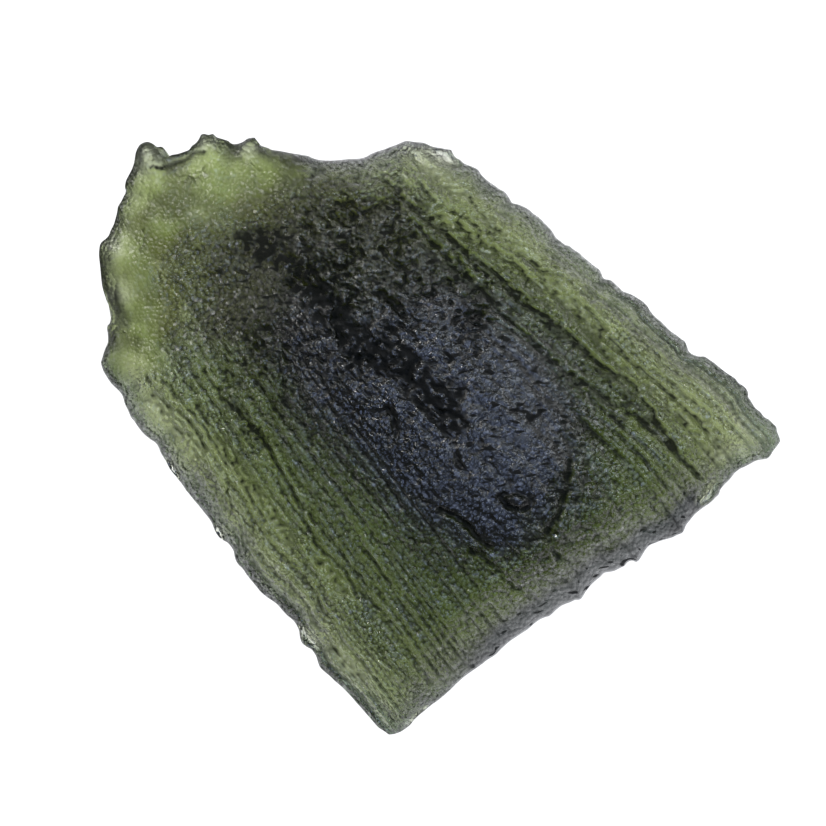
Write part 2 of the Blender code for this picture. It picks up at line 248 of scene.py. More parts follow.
def soft_noise(x, y, seed):
    """Rolling bumps, about -1 to 1, one or so to each unit of length."""
    column, row = np.floor(x).astype(np.int64), np.floor(y).astype(np.int64)
    fx, fy = x - column, y - row
    ease_x, ease_y = (f**3 * (f * (6 * f - 15) + 10) for f in (fx, fy))
    corner = {}
    for dx in (0, 1):
        for dy in (0, 1):
            turn = 2 * np.pi * scattered(column + dx, row + dy, seed)
            corner[dx, dy] = np.cos(turn) * (fx - dx) + np.sin(turn) * (fy - dy)
    low = corner[0, 0] + ease_x * (corner[1, 0] - corner[0, 0])
    high = corner[0, 1] + ease_x * (corner[1, 1] - corner[0, 1])
    return 1.5 * (low + ease_y * (high - low))


def cell_noise(x, y, seed):
    """The distance to the nearest of scattered points, one to each unit square."""
    column, row = np.floor(x).astype(np.int64), np.floor(y).astype(np.int64)
    nearest = np.full(np.shape(x), 9.0)
    for dx in (-1, 0, 1):
        for dy in (-1, 0, 1):
            px = column + dx + scattered(column + dx, row + dy, seed)
            py = row + dy + scattered(column + dx, row + dy, seed + 1)
            nearest = np.minimum(nearest, np.hypot(px - x, py - y))
    return nearest


def steps_up(value, low, high):
    """0 below low, 1 above high, and smooth between them."""
    t = np.clip((value - low) / (high - low), 0, 1)
    return t * t * (3 - 2 * t)


x, y = PLACE[..., 0], PLACE[..., 1]


def bumps(size, seed):
    """Soft noise over the whole sheet, its bumps about this many mm across."""
    return soft_noise(x / size, y / size, seed)


def sway(size, seed):
    """Two such noises as a vector, to shake places with."""
    return np.stack([bumps(size, seed), bumps(size, seed + 1)], -1)


print("soft noise runs from", bumps(1, 1).min().round(2), "to", bumps(1, 1).max().round(2))

# %% [markdown]
# ## The large form
#
# Seen from the side the stone is a low dome: thin at the rim, thickest along a long crown
# that leans the way of the flutes. The bulb is a smooth lobe that lies lower than the crown,
# and at the broken side the top drops steeply.
#
# All of this depends on how near each side is, so the distances come first. The nearest
# distance is softened, since a plain minimum would leave creases where two sides are
# equally far.

# %% Distances and the large form
RIM_HEIGHT, RIM_BAND = 1.75, 0.5
SHOULDER_RISE, SHOULDER_REACH = 0.75, 4.5
CROWN_RISE, CROWN_FALL = 3.45, 1.7
CROWN_MIDDLE, CROWN_HALF, CROWN_LEAN = (16.8, 16.0), (11.8, 7.3), np.radians(-48)
BULB_MIDDLE, BULB_HALF, BULB_DIP, BULB_FALL = (4.4, 25.2), (4.6, 5.4), 0.35, 6
BULB_SLOPE, BULB_REACH, BULB_THINNING = 0.9, 4.0, 0.6
# Rise, reach and bend of the bevel at each side: bulb, right, left, broken
EDGE_BEVELS = [(0.4, 1.6, 1.4), (0.85, 1.8, 1.25), (0.85, 1.7, 1.25), (1.5, 2.9, 1.05)]
SOFT_MINIMUM = 4.0
RELIEF_STRIP = 2.2


def distance_to(place, route):
    """How far each place is from a route of straight runs."""
    best = np.full(place.shape[:-1], np.inf)
    for start, end in zip(route[:-1], route[1:]):
        run = end - start
        share = np.clip(((place - start) @ run) / (run @ run), 0, 1)
        off = place - start - share[..., None] * run
        best = np.minimum(best, off[..., 0] ** 2 + off[..., 1] ** 2)
    return np.sqrt(best)


def rounded(distance, radius):
    """A quarter round: 0 at the rim, 1 from the radius inwards."""
    t = np.clip(distance / radius, 0, 1)
    return np.sqrt(1 - (1 - t) ** 2)


def bevelled(distance, reach, bend):
    """A bevel: 0 at the rim, 1 from the reach inwards, straight for a bend of 1."""
    return 1 - (1 - np.clip(distance / reach, 0, 1)) ** bend


def crown_share(place):
    """1 over the thick crown, falling to 0 round it."""
    offset = place - CROWN_MIDDLE
    cos, sin = np.cos(CROWN_LEAN), np.sin(CROWN_LEAN)
    length = (offset[..., 0] * cos + offset[..., 1] * sin) / CROWN_HALF[0]
    width = (offset[..., 1] * cos - offset[..., 0] * sin) / CROWN_HALF[1]
    return 1 / (1 + (length**2 + width**2) ** CROWN_FALL)


def bulb_cover(place):
    """1 over the smooth bulb, falling to 0 at the ledge round it."""
    offset = (place - BULB_MIDDLE) / BULB_HALF
    return 1 / (1 + np.hypot(offset[..., 0], offset[..., 1]) ** BULB_FALL)


side_distance = [distance_to(PLACE, side) for side in SIDES]
RIM = sum((side + 1e-9) ** -SOFT_MINIMUM for side in side_distance) ** (-1 / SOFT_MINIMUM)
nearness = np.array([1 / (side + 0.05) ** 3 for side in side_distance])
nearness = nearness / nearness.sum(axis=0)
NEAR_BULB, NEAR_BREAK = nearness[0], nearness[-1]
INSIDE = rounded(RIM, RELIEF_STRIP)
CROWN, BULB = crown_share(PLACE), bulb_cover(PLACE)
bevel_rise, bevel_reach, bevel_bend = (np.tensordot(part, nearness, 1) for part in zip(*EDGE_BEVELS))
band_height = RIM_BAND * (1 - BULB_THINNING * NEAR_BULB)
top = RIM_HEIGHT + band_height / 2 + bevel_rise * bevelled(RIM, bevel_reach, bevel_bend)
top = top + SHOULDER_RISE * np.tanh(RIM / SHOULDER_REACH)
top = top + BULB_SLOPE * np.tanh(RIM / BULB_REACH) * np.sqrt(BULB)
top = top + CROWN_RISE * CROWN * INSIDE * (1 - BULB) - BULB_DIP * BULB * INSIDE
print("plain dome is", top.max().round(2), "mm high")

# %% [markdown]
# ## Zones of the skin
#
# The etching differs from place to place. The middle is thick and dark, and part of it has
# a sandy skin that shines blue under the sky. Two belts are eaten into deep gaps, painted
# black as shade, with pebbles left standing in them, and narrow granular bands run beside the
# long grooves. The bulb is smooth and shaded brown where it meets the dark middle, and three
# strips of the margins glow. Along the break runs a steep band of its own, painted dark as
# shade.
#
# Each zone is a listed outline, and its edge is shaken by noise, so that no zone
# shows as a drawn shape.

# %% Outlines of the zones in mm
DARK_OUTLINE = [
    (5.4, 19.8), (5.2, 21.7), (5.6, 23.5), (6.4, 25), (8.3, 26.2), (10.7, 26.9), (12.3, 27.2),
    (14.6, 27.1), (15.8, 26.1), (17, 24.5), (18.5, 22.7), (20.4, 21.1), (22.2, 19.5), (23.7, 17.8),
    (24.4, 15.7), (24.3, 13.7), (24.1, 11.7), (23, 10), (21.8, 9.4), (20.3, 8.8), (19, 8.7),
    (17.3, 9.5), (15.8, 10.5), (14.4, 12), (12.7, 13.7), (10.9, 15.3), (9.2, 16.9), (7.4, 18.3),
]
BLUE_OUTLINE = [
    (9.7, 22.2), (11.6, 21.9), (12.7, 20.6), (15.1, 21.7), (16.6, 22.5), (18.6, 22.1), (20.6, 21.1),
    (22.3, 19.2), (23.4, 16.7), (23.4, 14.2), (22.4, 11.7), (21.4, 9.7), (19.6, 9.5), (17.1, 10.2),
    (15.1, 11.5), (13.1, 13.2), (11.3, 15.2), (9.9, 17.2), (9.1, 19.5),
]
UPPER_BELT = [
    (7, 25.3), (8.2, 25.1), (9.6, 24.5), (10.7, 23.6), (11.6, 22.5), (12.3, 21.7), (12.7, 20.7),
    (12.1, 20), (10.9, 20.6), (10.1, 21.7), (9.2, 22.7), (8, 23.8), (7, 24.5),
]
LOWER_BELT = [
    (11.6, 20.8), (12.7, 20.8), (14.3, 20), (15.7, 19.2), (17.1, 18.1), (18.1, 16.7), (18.6, 15.2),
    (18.1, 14.7), (17.1, 15.5), (15.8, 16.7), (14.7, 17.6), (13.3, 18.5), (12.3, 19.2),
]
GRANULAR_BANDS = [
    [(16, 26.5), (17.1, 25), (18.6, 23.6), (20.1, 22.5), (21.1, 21.5), (22.6, 20.4), (23.9, 19.2),
     (25.1, 18.1), (27.1, 16.2), (28.6, 14.4)],
    [(15.9, 25), (17.1, 23.6), (18.6, 22.5), (19.8, 21.7)],
    [(21.6, 19.4), (23.1, 18.2), (24.6, 17), (26.1, 15.7)],
    [(6.3, 16.9), (7.2, 15.8), (8.3, 14.4)],
]
SHADE_OUTLINE = [
    (2.6, 25), (5.1, 25.5), (7.6, 26.5), (10.1, 27.2), (11.6, 28), (12.6, 27), (10.1, 25.5),
    (7.6, 24.7), (6.1, 23.2), (5.1, 21.2), (4.6, 19.2), (3.3, 19.5), (3, 21.7), (3, 23.5),
]
CROWN_SHADE = [
    (11.8, 18), (13.4, 17.6), (15.4, 15.9), (17, 14), (16.2, 13), (14.4, 14), (12.6, 15.8),
]
UPPER_GLOW = [
    (15.9, 28.8), (17.1, 28.7), (20.1, 26), (23.1, 23), (24.6, 21.7), (23.9, 20.7), (21.6, 22.5),
    (19.1, 24.2), (17.1, 26.2),
]
LOWER_GLOW = [
    (25.1, 20.2), (27.1, 19.7), (29.6, 18), (32.1, 15.7), (31.8, 14.2), (30.1, 14.7), (27.6, 16.7),
    (25.6, 18.5),
]
LEFT_GLOW = [
    (2.1, 19.2), (3.6, 17.2), (6.1, 14.2), (9.1, 9.7), (11.6, 6.2), (14.1, 3.2), (13.6, 2.2),
    (10.6, 5.7), (7.6, 9.7), (5.1, 13.2), (2.6, 16.7), (1.3, 18.7),
]
SMOOTH_OUTLINE = [
    (1, 30.5), (5, 31), (8.5, 31), (10.2, 29.5), (10.3, 27.5), (8.8, 26.7), (7, 25.9), (5.2, 25.4),
    (4, 24.5), (3.2, 23.2), (3.5, 20.7), (3.2, 18.2), (1, 17.6), (-1, 19.5), (-1.2, 22.5), (-1, 25),
    (0, 28),
]
BAND_HALF = 0.36
ZONE_SWAY = 1.3
BREAK_REACH, BREAK_START, BREAK_END = 1.6, 16.5, 30.5


def zone_share(outline, soft, shake, seed):
    """1 well inside an outline, 0 well outside it, with a soft and shaken edge."""
    place = PLACE + shake * sway(ZONE_SWAY, seed)
    loop = np.array(outline + outline[:1], float)
    crossings = np.zeros(place.shape[:-1], int)
    for (x0, y0), (x1, y1) in zip(loop[:-1], loop[1:]):
        passes = (place[..., 1] < y0) != (place[..., 1] < y1)
        meets = x0 + (place[..., 1] - y0) * (x1 - x0) / (y1 - y0 + 1e-9)
        crossings = crossings + (passes & (place[..., 0] < meets))
    inwards = distance_to(place, loop) * np.where(crossings % 2, 1, -1)
    return steps_up(inwards, -soft / 2, soft / 2)


DARK = zone_share(DARK_OUTLINE, 2.6, 1.0, 201)
BLUE = zone_share(BLUE_OUTLINE, 2.0, 1.0, 203)
BELTS = np.maximum(zone_share(UPPER_BELT, 0.9, 0.7, 205), zone_share(LOWER_BELT, 0.9, 0.7, 205))
SMOOTH = zone_share(SMOOTH_OUTLINE, 1.6, 0.8, 207)
band_routes = [smooth_route(route) for route in GRANULAR_BANDS]
in_bands = [np.exp(-((distance_to(PLACE, route) / BAND_HALF) ** 4)) for route in band_routes]
BANDS = np.max(in_bands, axis=0)
BELTS, DARK = np.maximum(BELTS, 0.5 * BANDS), np.maximum(DARK, 0.6 * BANDS)
SHADE = np.maximum(zone_share(SHADE_OUTLINE, 1.8, 0.9, 209), zone_share(CROWN_SHADE, 1.0, 0.6, 209))
GLOW = sum(
    share * zone_share(outline, 1.2, 0.6, 211)
    for share, outline in ((1.9, UPPER_GLOW), (1.8, LOWER_GLOW), (1.0, LEFT_GLOW))
)
BREAK_BAND = steps_up(BREAK_REACH - RIM, 0, 0.9) * steps_up(NEAR_BREAK, 0.5, 0.8)
BREAK_BAND = BREAK_BAND * steps_up(BREAK_END - x, 0, 1.0) * steps_up(x, BREAK_START, BREAK_START + 3.5)
print("share of the sheet that is dark:", DARK.mean().round(2))

# %% [markdown]
# ## Flutes
#
# Long parallel ridges cover the stone, with finer ones riding on them, and on the lower left
# the finest of all, almost scratches. They are soft noise that changes fast across the stone
# (u) and slowly along it (v). Broad ones roll. The finer ones use the noise's absolute value,
# which gives the sharp little valleys that etching leaves between ridges.

# %% Flutes in four sizes
# How many across, bends along, height in mm and seed of each size
FLUTE_SIZES = [(20, 1.6, 0.36, 3), (40, 1.7, 0.26, 11), (78, 2.2, 0.16, 23), (124, 3.0, 0.08, 37)]
FLUTE_FAN = 0.13


def flute_noise(count, bends, seed):
    """Noise drawn out along the flutes."""
    return soft_noise(U * count, V * bends + FLUTE_FAN * count * (1 - V) ** 2, seed)


def creased(noise):
    """Round backs with sharp valleys between them, about -0.5 to 0.5."""
    return np.minimum(np.abs(noise) * 2.2, 1) - 0.5


left_half = steps_up(0.52 - U, 0, 0.25) * steps_up(V, 0.1, 0.35)
right_strip = steps_up(U, 0.62, 0.78) * steps_up(V, 0.05, 0.2)
fluted = np.maximum(left_half, right_strip)
growing = (0.35 + 0.65 * V) * (1 - 0.7 * CROWN) * (1 - 0.85 * BULB)
flutes = np.zeros(U.shape)
for count, bends, height, seed in FLUTE_SIZES:
    noise = flute_noise(count, bends, seed)
    if count == FLUTE_SIZES[0][0]:
        flutes = flutes + height * noise * growing
    else:
        flutes = flutes + height * creased(noise) * growing * (0.15 + 0.85 * fluted)
top = top + flutes * INSIDE
print("flutes stand", (flutes * INSIDE).max().round(2), "mm proud at most")

# %% [markdown]
# ## Grooves, cracks and windows
#
# The deepest grooves are drawn one by one, because one recognises this stone by them: the
# long dark one on the right, its neighbours, the pair on the left, the black crevices on the
# crown and the hooked crack near the break. Each is a route with a depth and a half width.
# The wall is a narrow bell with a raised lip beside it, and noise lets the depth come and go.
#
# Windows are the same thing made wide and shallow. They are smooth, thin places where the
# glass glows brightest, between the flutes of both margins. Scratch ridges are the same
# thing turned over: thin bright lines on the lower left.

# %% Named grooves: route, depth and half width in mm
GROOVES = [
    # Right of the crown
    ([(14.2, 27.9), (14.9, 27.1), (15.7, 26.3), (17.6, 24.7), (19.5, 23.3), (20.6, 22.2), (21.05, 21.6),
      (22.35, 20.9), (23.65, 19.9), (24.85, 18.6), (25.55, 18.2), (26.55, 17.6), (27.25, 16.6),
      (27.75, 15.9), (28.45, 14.7), (29.15, 13.7), (30, 12.9)], 0.42, 0.11),
    ([(15.7, 25.7), (16.75, 24.5), (18, 23.3), (19.3, 22), (20.05, 21), (21.55, 19.8), (22.35, 19),
      (23.55, 18), (24.65, 17.3), (26.15, 16.3), (27.6, 15)], 0.38, 0.11),
    ([(16, 27.6), (16.8, 26.6), (17.6, 26.1), (18.9, 25.4), (19.15, 24.6), (20.15, 23.9), (21.3, 22.9),
      (21.4, 22.3)], 0.34, 0.09),
    ([(18, 27.6), (18.7, 26.6), (19.55, 25.4), (20.35, 25)], 0.26, 0.08),
    ([(21.55, 23.7), (22, 23.2), (22.7, 23.1), (23.65, 22.5), (24.5, 21.8)], 0.28, 0.08),
    ([(24.3, 21.4), (24.85, 20.7), (25.6, 19.8), (26.4, 18.8), (27.4, 18), (28.1, 17.4), (28.8, 16.7),
      (29.65, 15.9), (30.2, 15.6)], 0.3, 0.08),
    ([(26.7, 16), (27.9, 14.9), (29.1, 13.7), (30.2, 12.7)], 0.3, 0.09),
    ([(23.65, 16.2), (24.65, 15.2), (25.55, 14.3), (26.55, 13.5)], 0.26, 0.08),
    ([(19.2, 20.8), (20.15, 20.5), (22, 19.1)], 0.28, 0.1),
    ([(22.5, 18.3), (23.9, 17), (25.4, 15.6), (27.4, 13.6)], 0.2, 0.08),
    ([(27.75, 20.4), (28.3, 19.8), (28.8, 19.2), (29.3, 19)], 0.26, 0.08),
    ([(27.6, 18.2), (28.9, 17.3), (30.4, 16.1), (31.6, 15.3)], 0.2, 0.07),
    ([(27.2, 17.7), (28.6, 16.6), (30, 15.4), (31.2, 14.6)], 0.18, 0.07),
    # Left of it
    ([(5.3, 18.2), (6.1, 17), (6.95, 16.2), (8.4, 14.5), (9.1, 13.1), (9.7, 12.2), (10.55, 10.2),
      (11.1, 9.2), (11.7, 8.8), (12.6, 7.7), (12.9, 6.9)], 0.36, 0.09),
    ([(4.9, 16.5), (5.85, 14.9), (6.45, 13.9), (7.2, 12.6), (7.8, 11.5), (8.4, 10.8)], 0.34, 0.09),
    ([(2.4, 17.9), (3.25, 16.6), (4.3, 15.9), (4.95, 15.1), (5.3, 14.2)], 0.34, 0.1),
    ([(6.5, 12.7), (6.5, 11.8), (7.2, 10.9), (7.7, 10.2)], 0.28, 0.08),
    ([(3.1, 17.8), (4.2, 16.5), (5.5, 15), (6.6, 13.2)], 0.26, 0.08),
    ([(13.1, 9.4), (14.1, 8.2), (14.9, 7.1), (16, 6.2), (17, 4.6), (17.7, 3.6)], 0.24, 0.08),
    ([(11.55, 14.4), (12.2, 13.5), (13.3, 12.3), (14.75, 10.5), (15.65, 9.7)], 0.24, 0.08),
    ([(13.05, 7.1), (14.25, 6.1), (15.2, 5)], 0.26, 0.09),
    ([(13.55, 4.3), (14.9, 3)], 0.2, 0.07),
    ([(10.3, 11.3), (11.6, 9.7), (12.6, 8.5), (13.5, 7.3)], 0.26, 0.09),
    # Crevices of the crown
    ([(12.1, 19.2), (13.05, 18.8), (14.05, 18.7), (14.75, 18.1), (15.5, 17.7), (16.2, 16.8),
      (17.1, 16.1), (18, 15.9)], 0.34, 0.14),
    ([(10.85, 21.5), (12, 21.7), (11.75, 20.6), (12.15, 19.8), (12.1, 19.2)], 0.36, 0.14),
    ([(14.05, 22), (14.75, 21.5), (15.3, 20.8)], 0.46, 0.17),
    ([(17.8, 20.7), (18.5, 20.9), (19.1, 21)], 0.4, 0.15),
    ([(9.05, 24.4), (9.85, 23.5), (10.25, 22.6), (11.15, 22.1)], 0.36, 0.18),
    ([(11.4, 25.9), (12.3, 25.7), (13.4, 26.1), (14.2, 26.6)], 0.44, 0.22),
    ([(12, 26.6), (12.9, 26.5), (13.6, 26.8)], 0.34, 0.16),
    ([(11.75, 23.2), (12.25, 23.3)], 0.36, 0.15),
    ([(14.15, 24.3), (14.9, 23.4), (15.8, 23.6)], 0.34, 0.13),
    ([(14.4, 16.3), (14.75, 15.8), (14.75, 15)], 0.3, 0.1),
    ([(14.15, 18.4), (15.3, 17.4), (16.45, 16.1), (17.45, 15), (17.8, 14.2), (18.05, 13.4)],
     0.24, 0.11),
    # Low on the crown and near the break, the hooked crack among them
    ([(17.05, 11.2), (17.85, 10.9), (18.9, 10), (19.4, 9.4)], 0.46, 0.15),
    ([(18.6, 9.2), (19.3, 8.8), (20.15, 7.9), (21.05, 7.2)], 0.4, 0.14),
    ([(23.5, 13.7), (23.45, 13), (23.25, 11.9), (22.8, 10.7), (22.4, 10.1), (22.75, 9.2), (23, 8.8)],
      0.5, 0.13),
    ([(25.6, 12.7), (26.9, 11.9)], 0.2, 0.08),
    ([(28.2, 12.6), (29.3, 11.7)], 0.2, 0.08),
]
WINDOWS = [
    ([(16.2, 28.4), (17.2, 27.6), (18.4, 26.7)], 0.3, 0.42),
    ([(16.6, 26.2), (17.4, 25.5), (18.7, 24.7), (19.8, 23.8)], 0.34, 0.42),
    ([(19.3, 25.8), (20.6, 24.6), (21.8, 23.6)], 0.3, 0.42),
    ([(20.6, 23.2), (21.6, 22.5), (22.4, 21.6)], 0.26, 0.36),
    ([(22.2, 22.8), (23.6, 21.4), (24.9, 20)], 0.34, 0.5),
    ([(25.2, 18.9), (26.6, 18.1), (27.6, 17.1)], 0.32, 0.4),
    ([(28.7, 16.4), (29.8, 15.2), (30.7, 14)], 0.42, 0.6),
    ([(2.6, 16.8), (3.8, 15.6), (5, 14.2)], 0.42, 0.42),
    ([(5.9, 14.7), (7.1, 13.1), (8.2, 11.9), (9.6, 9.8)], 0.4, 0.34),
    ([(11.2, 8.6), (12.2, 7.4)], 0.36, 0.36),
    ([(11.8, 4.2), (12.9, 3)], 0.34, 0.5),
]
SCRATCH_RIDGES = [
    ([(11.5, 14.3), (12.1, 13.5), (13.05, 12.4), (14.75, 10.4), (15.65, 9.6)], 0.16, 0.1),
    ([(13.05, 9.3), (14.05, 8.1), (14.9, 7), (15.95, 6.1), (17, 4.5), (17.7, 3.5)], 0.14, 0.09),
    ([(13.05, 7), (14.25, 6)], 0.12, 0.06),
    ([(13.55, 4.2), (14.9, 2.9)], 0.12, 0.06),
    ([(5.4, 18.2), (6.3, 16.9), (8.6, 14.5), (9.3, 13.1), (9.9, 12.2), (10.75, 10.2)], 0.15, 0.1),
    ([(17.6, 7.4), (18.3, 6.6), (18.9, 6.1)], 0.12, 0.06),
]
SHAKE, SHAKE_SIZE = 0.1, 0.5
LIP, LIP_PLACE = 0.22, 2.4
SHARP_WALL, ROUND_WALL = 1.1, 2


def cut_routes(routes, lip, sharpness, seed):
    """How deep the routes go, lips above zero and floors below."""
    shaken = PLACE + SHAKE * sway(SHAKE_SIZE, seed)
    patchy = 0.8 + 0.45 * bumps(0.9, seed + 2) + 0.6 * bumps(0.28, seed + 3)
    relief = np.zeros(x.shape)
    for route, depth, half in routes:
        away = distance_to(shaken, smooth_route(route, 3)) / half
        floor = -depth * patchy * np.exp(-(away**sharpness))
        relief = np.minimum(relief, floor) + lip * depth * np.exp(-((away - LIP_PLACE) ** 2))
    return relief


windows = cut_routes(WINDOWS, 0, ROUND_WALL, 57)
grooves = cut_routes(GROOVES, LIP, SHARP_WALL, 51)
scratches = -cut_routes(SCRATCH_RIDGES, 0, ROUND_WALL, 54)
top = top + (grooves + windows + scratches) * INSIDE
print(len(GROOVES), "grooves, the deepest", -grooves.min().round(2), "mm")

# %% [markdown]
# ## Pebbled skin, crevices and pits
#
# On the crown the etching has no direction. It leaves pebbles a few tenths of a millimetre
# across, with black crevices where several run together, and the whole skin is covered in
# grains as fine as sand. The bulb has the same skin, but softer, and the windows are nearly
# smooth. One mask for each of these regions sets how strong the skin is there.
#
# A ledge crosses the bulb's upper corner, where a thin shell of glass has come off. It is cut
# as one more groove.

# %% Pebbles, crevices and pits
PEBBLE_HEIGHT, SMALL_PEBBLE_HEIGHT, GRAIN_HEIGHT, BELT_SINK = 0.15, 0.08, 0.05, 0.12
CREVICE_DEPTH, CREVICE_HALF, PIT_DEPTH = 0.42, 0.1, 0.26
LEDGE = [(2.6, 28.3), (3.3, 28.4), (3.9, 28.6), (4.3, 28.8), (4.7, 29.1), (5.3, 29.1)]
LEDGE_DEPTH, LEDGE_HALF = 0.5, 0.1
FULL_WINDOW = 0.3
smooth_windows = np.clip(-windows / FULL_WINDOW, 0, 1)
skin = (0.35 + 0.65 * np.sqrt(CROWN)) * (1 - 0.45 * BULB) * (1 - 0.6 * smooth_windows)
skin = skin * (1 - 0.75 * right_strip * (1 - BANDS))
skin = skin * (1 - 0.35 * left_half) * (1 - 0.6 * SMOOTH) * (1 - 0.55 * BLUE * (1 - BELTS))
lean_x = x * np.cos(CROWN_LEAN) + y * np.sin(CROWN_LEAN)
lean_y = y * np.cos(CROWN_LEAN) - x * np.sin(CROWN_LEAN)
pebbles = 0.5 - 1.6 * cell_noise(lean_x / 0.52, lean_y / 0.42, 61) ** 2
small_pebbles = creased(soft_noise(lean_x / 0.36, lean_y / 0.28, 67))
grains = bumps(0.2, 71)
upper_crown = steps_up(0.62 - V, 0, 0.25) * steps_up(CROWN, 0.22, 0.5) * steps_up(0.4 - BULB, 0, 0.3)
deep_share = 0.25 + 0.75 * upper_crown
crease_line = soft_noise(lean_x / 1.3, lean_y / 0.8, 73) + 0.3 * bumps(0.3, 77)
where_deep = steps_up(bumps(2.2, 79), -0.3, 0.3)
crevices = -np.exp(-((crease_line / CREVICE_HALF) ** 2)) * where_deep * upper_crown
pit_noise = soft_noise(lean_x / 0.55, lean_y / 0.42, 83) + 0.5 * bumps(0.25, 84)
pits = -steps_up(pit_noise, 0.42, 0.8) * steps_up(CROWN, 0.15, 0.45) * (1 - BULB)
ledge = cut_routes([(LEDGE, LEDGE_DEPTH, LEDGE_HALF)], LIP, SHARP_WALL, 59)
relief = PEBBLE_HEIGHT * pebbles * skin * (1 + BELTS) - BELT_SINK * BELTS
relief = relief + SMALL_PEBBLE_HEIGHT * small_pebbles * skin
relief = relief + GRAIN_HEIGHT * grains * (0.4 + 0.6 * skin)
relief = relief + CREVICE_DEPTH * crevices + PIT_DEPTH * pits * deep_share + ledge
top = top + relief * rounded(RIM, 1.0)
print("skin relief in mm:", relief.min().round(2), "to", relief.max().round(2))

# %% [markdown]
# ## The lens and the flake scars
#
# A raised lens sits near the break in its own moat, like a blister. Along the rim a few thin
# flakes have come off and left pale, clear dishes, and on the bulb and at the corners thin
# glass stands in pale lumps. All are too small for a tool of their own, so each is one oval
# term added to the height.

# %% Lens, flake scars and pale lumps
LENS_MIDDLE, LENS_HALF, LENS_LEAN = (20.85, 11.7), (0.62, 0.3), np.radians(-12)
LENS_HEIGHT, LENS_SWAY = 0.26, 0.12
MOAT_DEPTH, MOAT_PLACE, MOAT_HALF = 0.36, 1.25, 0.26
LUMP_RAISE, EDGE_KEEP = 0.06, 0.3
# Middle, half length and half width, lean in degrees, and depth of each dish
SCARS = [
    ((30.35, 12.15), (0.9, 0.36), 52, 0.5),
    ((3.6, 13.3), (1, 0.32), -56, 0.8),
    ((6, 10.1), (0.6, 0.3), -60, 0.6),
    ((10.5, 4.9), (0.95, 0.32), -48, 0.5),
    ((16.1, 1), (1.2, 0.34), 42, 0.5),
    ((17.2, 28.75), (0.95, 0.42), -22, 0.7),
    ((16, 28.7), (0.65, 0.28), -55, 0.6),
]


def oval_reach(place, centre, half, lean):
    """How far out each place is, 1 on the oval itself."""
    offset = place - centre
    long = offset[..., 0] * np.cos(lean) + offset[..., 1] * np.sin(lean)
    short = offset[..., 1] * np.cos(lean) - offset[..., 0] * np.sin(lean)
    return np.hypot(long / half[0], short / half[1])


# Middle, half length and half width, and lean of each lump
PALE_LUMPS = [
    ((2.4, 28.8), (0.85, 0.8), 0), ((1.25, 22), (0.6, 0.65), 0), ((0.8, 24.3), (0.5, 0.6), 0),
    ((5.4, 29.5), (0.6, 0.35), 10), ((7.5, 29.2), (0.6, 0.4), -20),
    ((18, 27), (0.7, 0.3), -50), ((5.1, 26), (0.45, 0.25), 10), ((4.4, 21), (0.3, 0.3), 0),
]
lens_sway = LENS_SWAY * sway(0.35, 91)
lens = oval_reach(PLACE + lens_sway, LENS_MIDDLE, LENS_HALF, LENS_LEAN)
lower_left = ((LENS_MIDDLE - PLACE) @ (0.45, 0.75)) + 0.5 * bumps(0.4, 93)
moat = np.exp(-(((lens - MOAT_PLACE) / MOAT_HALF) ** 2)) * np.clip(0.6 + lower_left, 0, 1.2)
top = top + LENS_HEIGHT * np.exp(-(lens**4)) - MOAT_DEPTH * moat
off_the_edge = np.clip(RIM / EDGE_KEEP, 0, 1)
scarred = np.zeros(RIM.shape)
for middle, half, lean, depth in SCARS:
    dish = np.clip(1 - oval_reach(PLACE, middle, half, np.radians(lean)) ** 2, 0, 1)
    top = top - depth * dish * off_the_edge
    scarred = np.maximum(scarred, np.clip(2 * dish, 0, 1))
pale = np.zeros(RIM.shape)
for middle, half, lean in PALE_LUMPS:
    lump = np.exp(-(oval_reach(PLACE + 3 * lens_sway, middle, half, np.radians(lean)) ** 2.5))
    top = top + LUMP_RAISE * lump * off_the_edge
    pale = np.maximum(pale, lump)
print("finished top:", top.min().round(2), "to", top.max().round(2), "mm")

# %% [markdown]
# ## The underside
#
# Light passes through the underside, and the stone has to look whole from every side. It
# bellies down gently from the rim to one small flat spot that carries the stone. It has its
# own flutes and lumps, with coarser cells, as it needs less detail.

# %% The underside
COARSER = 2
BELLY, BELLY_REACH, BELLY_EDGE, BELLY_BEND = 1.25, 3.4, 1.2, 1.6
REST_DEPTH, REST_SHARE = 0.16, 0.45
UNDER_FLUTE, UNDER_FINE, UNDER_LUMP, UNDER_PIT = 0.45, 0.1, 0.3, 0.1
edge = bevelled(RIM, BELLY_EDGE, BELLY_BEND)
under = RIM_HEIGHT - band_height / 2 * (1 - edge) - (RIM_HEIGHT - BELLY) * edge
under = under - BELLY * np.tanh(RIM / BELLY_REACH)
relief = UNDER_FLUTE * flute_noise(34, 3, 5) + UNDER_FINE * creased(flute_noise(90, 6, 17))
relief = relief * growing + UNDER_LUMP * bumps(1.6, 89) + UNDER_FINE * creased(bumps(0.6, 97))
relief = relief - UNDER_PIT * steps_up(0.4 - cell_noise(x / 1.1, y / 1.1, 101), 0, 0.4)
under = under + relief * INSIDE * (1 - CROWN)
under = under - REST_DEPTH * (CROWN - REST_SHARE)
under = np.maximum(under, 0)
every = slice(None, None, COARSER)
under, under_place = under[every, every], PLACE[every, every]
print("underside grid:", under.shape, "flat spot points:", int((under == 0).sum()))

# %% [markdown]
# ## One closed skin
#
# The top and the underside become one mesh. The rim between them is a narrow band, which
# joins two cells of the top's edge to each cell of the underside's. A closed skin matters
# for glass: light has to know where it goes in and where it comes out.
#
# The mesh also gets a map, laid out flat with the top beside the underside, and at each
# point a set of values for the glass to use later: how deep it lies in a groove or how high
# on a ridge, which zones it is in, how strong its sandy sheen is, and where it lies across
# and along the flutes.

